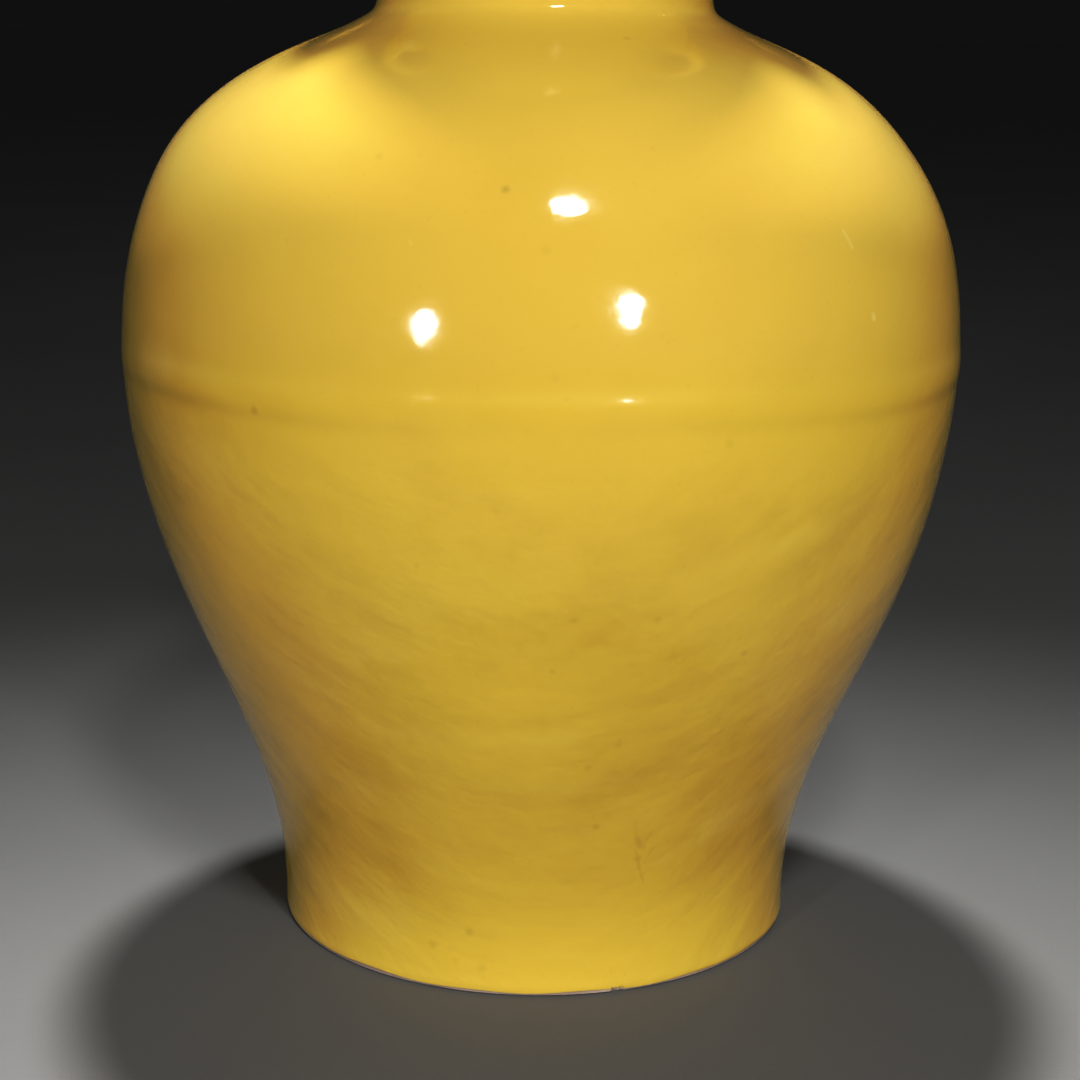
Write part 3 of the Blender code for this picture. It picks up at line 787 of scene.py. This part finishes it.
def make_base():
    """The floor of the pot, seen down the neck and from below: white glaze over faint turning rings."""
    radius = float(radius_at(INNER, RING_HEIGHT)) - 0.2 * MM
    underside = RING_HEIGHT + 0.3 * MM
    level = [(r * MM, BASE_TOP) for r in np.arange(2.0, 72.0, 2.0)]
    top = level + [(radius - 2.4 * MM, BASE_TOP + 0.4 * MM), (radius - 0.9 * MM, BASE_TOP + 1.2 * MM)]
    top += [(radius + 0.75 * MM, BASE_TOP + 3.2 * MM), (radius + 1.0 * MM, BASE_TOP), (radius, underside)]
    profile = np.array(top + [(r * MM, underside) for r in np.arange(72.0, 1.0, -2.0)])
    turn = np.linspace(0.0, 2 * math.pi, BASE_SEGMENTS, endpoint=False)
    points = [(0.0, 0.0, BASE_TOP)]
    for row, (r, z) in enumerate(profile):
        lift = 0.0
        if row < len(level):
            lift = 0.12 * MM * math.cos(r / (3.1 * MM)) * min(1.0, r / (15 * MM))
        elif row >= len(top):
            lift = 0.10 * MM * math.cos(r / (2.3 * MM)) - 0.5 * MM * (1.0 - (r / radius) ** 2)
        wobble = 0.05 * MM * np.cos(2 * turn + 0.4 * row)
        points += [(r * math.cos(t), r * math.sin(t), z + lift + w) for t, w in zip(turn, wobble)]
    points.append((0.0, 0.0, underside - 0.4 * MM))
    faces = capped(len(profile), BASE_SEGMENTS, len(points) - 1)
    return dress(new_mesh("base_skin", points, faces, (WHITE,)), "white_glaze", "base")


def pad_distance(turn, radius, height):
    """How far a point of the neck lies outside the nearer pad of its handle, in metres."""
    across = radius * np.abs(np.sin(turn))
    upper = np.hypot(across, height - UPPER_PAD_Z) - UPPER_PAD_REACH
    lower = np.hypot(across, height - LOWER_PAD_Z) - LOWER_PAD_RADIUS
    return np.minimum(upper, lower)


def make_neck():
    """The neck: yellow outside and over the lip, white inside, the glaze thin on the lip."""
    outside = along_curve(OUTER, NECK_JOINT, LIP_HEIGHT, 1.2 * MM, [(NECK_JOINT, 5 * MM)])
    inside = along_curve(INNER, NECK_JOINT, LIP_HEIGHT, 2.2 * MM)[::-1]
    centre = 0.5 * (outside[-1, 0] + inside[0, 0])
    half = 0.5 * (outside[-1, 0] - inside[0, 0])
    angles = np.radians(np.arange(10.0, 180.0, 10.0))
    lip = [(centre + half * math.cos(a), LIP_HEIGHT + LIP_ROUNDING * math.sin(a)) for a in angles]
    profile = np.vstack([outside, lip, inside])
    count, crest = len(outside), len(outside) + len(lip) // 2
    yellow_rows = crest + 4

    def shape(turn, r, z, pool_and_painted_shade, row):
        if row < count:
            offset, pool_and_painted_shade = relief(turn, z)
            rings = waves(turn, z, 51, 8, (0, 2), (6 * MM, 16 * MM)) * step_up(z - NECK_RINGS_FROM, 4 * MM)
            bead = bell(z, LIP_HEIGHT + 1 * MM, 3.0 * MM)
            gap = np.maximum(pad_distance(turn, r, z), 0.0)
            pool_and_painted_shade = pool_and_painted_shade + 0.5 * np.exp(-gap / (1.6 * MM)) + 0.45 * bell(z, LIP_HEIGHT - 5 * MM, 2.5 * MM)
            return r + offset + 0.045 * MM * rings + 0.5 * MM * bead, z, pool_and_painted_shade
        if row < count + len(lip):
            angle = angles[row - count]
            swell = 0.5 * MM * max(0.0, math.cos(angle))
            drift = 0.25 * MM * around(turn, 52, 5, (1, 4))
            pool_and_painted_shade = pool_and_painted_shade - 0.75 * bell(row, crest, 3.5)
            return r + swell, z + drift * math.sin(angle), pool_and_painted_shade
        return r + throwing(turn, z, 53), z, pool_and_painted_shade

    kinds = [0] * yellow_rows + [1] * (len(profile) - yellow_rows)
    neck = turned("neck_skin", profile, (YELLOW, WHITE), kinds, shape)
    return dress(neck, "yellow_glaze", "neck")


def pad_front(height):
    """How far from the axis a pad's front stands, with its middle or its upper lobe at a height."""
    return float(radius_at(OUTER, height)) + PAD_PROUD


def strap_path():
    """The strap's centre line (out, up), from the upper pad over the crest and back in to the lower pad."""
    start = (pad_front(UPPER_PAD_Z + LOBE), UPPER_PAD_Z)
    crest = (STRAP_OUT - CREST_IN, UPPER_PAD_Z + CREST_RISE)
    side = (STRAP_OUT, crest[1] - SIDE_DROP)
    end = (pad_front(LOWER_PAD_Z), LOWER_PAD_Z)
    rising = 0.55 * (crest[0] - start[0])
    first = cubic(start, (start[0] + rising, start[1]), (crest[0] - rising, crest[1]), crest, 40)
    over, down = (crest[0] + 0.70 * CREST_IN, crest[1]), (side[0], side[1] + 0.65 * SIDE_DROP)
    second = cubic(crest, over, down, side, 30)
    drop = 0.5 * (side[1] - end[1])
    third = cubic(side, (side[0], side[1] - drop), (end[0] + 0.6 * (side[0] - end[0]), end[1]), end, 50)
    return np.vstack([first, second[1:], third[1:]])


def make_strap(side, turn):
    """A bent strap: three soft reeds along its outer face, swelling into the pads at both ends."""
    path = strap_path()
    length = run_length(path)
    total = length[-1]
    wanted = np.linspace(0.0, total, 110)
    path = np.stack([np.interp(wanted, length, path[:, axis]) for axis in (0, 1)], axis=1)
    along = np.gradient(path, axis=0)
    along /= np.linalg.norm(along, axis=1)[:, None]
    away = np.stack([-along[:, 1], along[:, 0]], axis=1)
    angle = np.linspace(0.0, 2 * math.pi, 56, endpoint=False)
    cosine, sine = np.cos(angle), np.sin(angle)
    across = np.sign(cosine) * np.abs(cosine) ** 0.75
    thick = np.sign(sine) * np.abs(sine) ** 0.85
    reeds = np.where(sine > 0, 0.5 * MM * (np.abs(np.cos(1.5 * math.pi * across)) - 0.6) * sine, 0.0)
    points, pools_and_painted_shade = [], []
    for i, s in enumerate(wanted):
        near_end = min(s, total - s)
        flare = 1.0 + 0.30 * math.exp(-near_end / (2.4 * MM)) + 0.10 * math.exp(-near_end / (9.0 * MM))
        fade = 1.0 - math.exp(-near_end / (5.0 * MM))
        wobble = 1.0 + 0.012 * math.sin(9.0 * s / total) + 0.01 * math.sin(23.0 * s / total + 1.0)
        y = 0.5 * STRAP_WIDTH * across * wobble * (1.0 + 0.5 * (flare - 1.0))
        n = 0.5 * STRAP_THICKNESS * thick * flare * wobble + reeds * fade
        points.append(np.stack([path[i, 0] + away[i, 0] * n, y, path[i, 1] + away[i, 1] * n], axis=1))
        worn = 0.55 * np.clip(reeds / (0.25 * MM), -1, 1) * fade
        pools_and_painted_shade.append(0.5 * math.exp(-near_end / (2.5 * MM)) - worn)
    rows, n = len(wanted), len(angle)
    faces = ring_faces(rows, n, False)
    faces += [tuple(range(n))[::-1], tuple(range((rows - 1) * n, rows * n))]
    points = turned_about(np.vstack(points), turn)
    name = side + "_handle_strap"
    strap = new_mesh(name + "_skin", points, faces, (YELLOW,), None, np.concatenate(pools_and_painted_shade))
    return dress(strap, "yellow_glaze", name)


def turned_about(points, turn):
    """Points turned about the pot's axis."""
    c, s = math.cos(turn), math.sin(turn)
    return points @ np.array([[c, s, 0.0], [-s, c, 0.0], [0.0, 0.0, 1.0]])


def cloud_edge(count):
    """The cloud head's outline (across, up) from its three lobes and its point, evenly spaced."""
    lobes = ((-SPREAD, 0.0, 225.0, 95.0), (0.0, 0.75 * SPREAD, 160.0, 20.0), (SPREAD, 0.0, 85.0, -45.0))
    points = []
    for across, up, first, last in lobes:
        angle = np.radians(np.linspace(first, last, 40))
        points.append(np.stack([across + LOBE * np.cos(angle), up + LOBE * np.sin(angle)], axis=1))
    left, right = points[0][0], points[2][-1]
    tip = np.array((0.0, -TIP))
    t = np.linspace(0, 1, 24)[1:, None]
    bow = np.array((1.2 * MM, 1.2 * MM))
    down = (1 - t) ** 2 * right + 2 * (1 - t) * t * (0.5 * (right + tip) + bow * (-1, 1)) + t**2 * tip
    up = (1 - t) ** 2 * tip + 2 * (1 - t) * t * (0.5 * (left + tip) + bow) + t**2 * left
    return resampled(np.vstack(points + [down, up[:-1]]), count)


def round_edge(count):
    """The round pad's outline."""
    angle = np.linspace(2 * math.pi, 0.0, count, endpoint=False)
    return LOWER_PAD_RADIUS * np.stack([np.cos(angle), np.sin(angle)], axis=1)


def resampled(edge, count):
    """A closed outline with its points evenly spaced."""
    closed = np.vstack([edge, edge[:1]])
    length = run_length(closed)
    wanted = np.linspace(0.0, length[-1], count, endpoint=False)
    return np.stack([np.interp(wanted, length, closed[:, axis]) for axis in (0, 1)], axis=1)


def cloud_relief(across, up, share):
    """The cloud head's carving: a bead inside its edge and a curl in each lobe."""
    height = 0.55 * MM * bell(share, 0.84, 0.07) - 0.25 * MM * bell(share, 0.70, 0.06)
    for sign in (-1.0, 1.0):
        dy, dz = sign * across - 0.95 * SPREAD, up + 0.2 * MM
        away = np.hypot(dy, dz)
        angle = np.arctan2(dz, dy)
        coil = np.abs(((away - 0.55 * MM * angle / math.pi) / (1.5 * MM) + 0.5) % 1.0 - 0.5)
        height = height - 0.40 * MM * bell(coil, 0.0, 0.16) * bell(away, 1.4 * MM, 1.7 * MM)
        height = height + 0.30 * MM * bell(away, 0.0, 0.8 * MM)
    return height


def round_relief(across, up, share):
    """The round pad's carving: a bead inside its edge and twelve short petals."""
    angle = np.arctan2(up, across)
    petals = np.abs(np.sin(6 * angle)) * bell(share, 0.62, 0.16)
    return 0.30 * MM * bell(share, 0.88, 0.06) + 0.35 * MM * petals - 0.2 * MM * bell(share, 0.78, 0.04)


def make_pad(side, turn, kind, edge, carving, front, centre):
    """A pressed pad: carved and domed in front, soft at its edge, its back sunk a hair into the neck."""
    shares = np.concatenate([np.linspace(0.03, 0.90, 30), np.linspace(0.92, 1.0, 8)])
    dome, soft = 0.5 * MM, 0.9 * MM
    rows, pools_and_painted_shade = [], []

    def neck_x(across, up):
        radius = radius_at(OUTER, centre + up) - 0.45 * MM
        return np.sqrt(np.maximum(radius**2 - across**2, 0.0))

    for share in shares:
        yz = edge * share
        carved = carving(yz[:, 0], yz[:, 1], share) * min(1.0, (1.0 - share) / 0.05 + 0.2)
        round_off = soft * (1.0 - math.sqrt(max(0.0, 1.0 - max(0.0, (share - 0.88) / 0.12) ** 2)))
        x = front + dome * (1.0 - share**2) + carved - round_off
        rows.append(np.stack([x, yz[:, 0], yz[:, 1] + centre], axis=1))
        pools_and_painted_shade.append(0.20 - carved / MM)
    for drop in (0.3, 0.65, 1.0):
        x = (front - soft) * (1 - drop) + neck_x(edge[:, 0], edge[:, 1]) * drop
        spread = 1.0 + 0.05 * drop**2
        rows.append(np.stack([x, edge[:, 0] * spread, edge[:, 1] * spread + centre], axis=1))
        pools_and_painted_shade.append(np.full(len(edge), 0.5 * drop))
    for share in (0.8, 0.5, 0.2):
        yz = edge * share
        x = neck_x(yz[:, 0], yz[:, 1]) - 0.4 * MM
        rows.append(np.stack([x, yz[:, 0], yz[:, 1] + centre], axis=1))
        pools_and_painted_shade.append(np.zeros(len(edge)))
    middle = np.zeros(1)
    first = [(front + dome + float(carving(middle, middle, 0.0)[0]), 0.0, centre)]
    last = [(float(neck_x(middle, middle)[0]) - 0.4 * MM, 0.0, centre)]
    points = turned_about(np.vstack([first] + rows + [last]), turn)
    pool_and_painted_shade = np.concatenate([[0.0]] + pools_and_painted_shade + [[0.0]])
    faces = capped(len(rows), len(edge), len(points) - 1)
    name = side + "_handle_" + kind
    return dress(new_mesh(name + "_skin", points, faces, (YELLOW,), None, pool_and_painted_shade), "yellow_glaze", name)


def make_handle(side, turn):
    """One handle: the strap and its two pads."""
    front = pad_front(UPPER_PAD_Z + LOBE)
    make_pad(side, turn, "upper_pad", cloud_edge(240), cloud_relief, front, UPPER_PAD_Z)
    front = pad_front(LOWER_PAD_Z)
    make_pad(side, turn, "lower_pad", round_edge(200), round_relief, front, LOWER_PAD_Z)
    make_strap(side, turn)


def outward(piece):
    """Turns a closed mesh's faces outwards, if its volume says that they face in."""
    mesh = piece.data
    mesh.calc_loop_triangles()
    volume = 0.0
    for triangle in mesh.loop_triangles:
        a, b, c = (mesh.vertices[i].co for i in triangle.vertices)
        volume += a.dot(b.cross(c))
    if volume < 0:
        mesh.flip_normals()


def make_floor():
    """A wide pale floor."""
    g = Graph("pale_floor")
    g.put(g.shader.inputs["Base Color"], g.tones(g.noise(3.0, 3.0), 0.3, 0.7, FLOOR_TONES))
    g.shader.inputs["Roughness"].default_value = 0.75
    g.put(g.shader.inputs["Normal"], g.bump(g.noise(900.0, 3.0), 0.0001))
    turn = np.linspace(0, 2 * math.pi, 96, endpoint=False)
    points = [(FLOOR_RADIUS * math.cos(t), FLOOR_RADIUS * math.sin(t), 0.0) for t in turn]
    floor = new_mesh("floor", points, [tuple(range(len(points)))], (g.material,))


def make_lamp(name, place, aim, size, energy, spread=180.0):
    """A soft oval lamp (width, height) that faces its aim, its beam narrowed to a spread in degrees."""
    data = bpy.data.lights.new(name, "AREA")
    data.shape = "ELLIPSE"
    data.size, data.size_y = size
    data.energy = energy
    data.spread = math.radians(spread)
    lamp = bpy.data.objects.new(name, data)
    lamp.location = place
    lamp.rotation_euler = (Vector(aim) - Vector(place)).to_track_quat("-Z", "Y").to_euler()
    bpy.context.scene.collection.objects.link(lamp)


def toward(azimuth, elevation, distance, start):
    """The point at a distance from a start, in a direction given in degrees from the front and the floor."""
    a, e = math.radians(azimuth), math.radians(elevation)
    way = Vector((math.sin(a) * math.cos(e), -math.cos(a) * math.cos(e), math.sin(e)))
    return Vector(start) + distance * way


def make_lights():
    """A high lamp behind, one high in front, and a small one either side of the camera."""
    rear = REAR_LAMP_PLACE, REAR_LAMP_AIM, REAR_LAMP_SIZE, REAR_LAMP_WATTS, REAR_LAMP_SPREAD
    make_lamp("lamp_rear", *rear)
    for name, (way, glint, size, energy) in FRONT_LAMPS.items():
        place = toward(*way, LAMP_DISTANCE, on_surface(*glint))
        make_lamp(name, place, FRONT_LAMPS_AIM, size, energy)


def make_room():
    """A dim grey room, lit a little from above."""
    world = bpy.data.worlds.new("room")
    bpy.context.scene.world = world
    world.use_nodes = True
    tree = world.node_tree
    way = tree.nodes.new("ShaderNodeSeparateXYZ")
    tree.links.new(tree.nodes.new("ShaderNodeTexCoord").outputs["Generated"], way.inputs["Vector"])
    rise = tree.nodes.new("ShaderNodeMapRange")
    rise.interpolation_type = "SMOOTHSTEP"
    for key, value in ROOM_LIGHT.items():
        rise.inputs[key].default_value = value
    tree.links.new(way.outputs["Z"], rise.inputs["Value"])
    back = tree.nodes["Background"]
    back.inputs["Color"].default_value = ROOM_TONE
    tree.links.new(rise.outputs[0], back.inputs["Strength"])


def make_camera():
    """The photograph's camera: level with the neck, tipped down, with its small lean to one side."""
    tip, lean = CAMERA_TIP, CAMERA_LEAN
    forward = Vector((0.0, math.cos(tip), -math.sin(tip)))
    up = Vector((0.0, math.sin(tip), math.cos(tip)))
    right = Vector((1.0, 0.0, 0.0))
    across = math.cos(lean) * right + math.sin(lean) * up
    upright = math.cos(lean) * up - math.sin(lean) * right
    data = bpy.data.cameras.new("camera")
    data.sensor_width = SENSOR_WIDTH
    data.lens = SENSOR_WIDTH * FOCAL_PIXELS / FRAME_PIXELS
    data.clip_start = 0.01
    camera = bpy.data.objects.new("camera", data)
    turned_to = Matrix((across, upright, -forward)).transposed().to_4x4()
    camera.matrix_world = Matrix.Translation(CAMERA_PLACE) @ turned_to
    bpy.context.scene.collection.objects.link(camera)
    bpy.context.scene.camera = camera


def set_contrast():
    """The contrast of a studio photograph: deeper shadows and a little more light in the bright parts."""
    view = bpy.context.scene.view_settings
    view.view_transform = "Standard"
    view.use_curve_mapping = True
    every_channel = view.curve_mapping.curves[3]
    for point in CONTRAST:
        every_channel.points.new(*point)
    view.curve_mapping.update()


make_camera()
make_foot_ring()
make_base()
make_wall("lower_body", RING_HEIGHT, SEAM_HEIGHT, [(SEAM_HEIGHT, 12 * MM)])
make_wall("shoulder", SEAM_HEIGHT, NECK_JOINT, [(SEAM_HEIGHT, 12 * MM), (NECK_JOINT, 6 * MM)])
make_neck()
make_handle("right", 0.0)
make_handle("left", math.pi)
for skin in [o for o in bpy.data.objects if o.name.endswith("_skin")]:
    outward(skin)
make_floor()
make_lights()
make_room()
set_contrast()
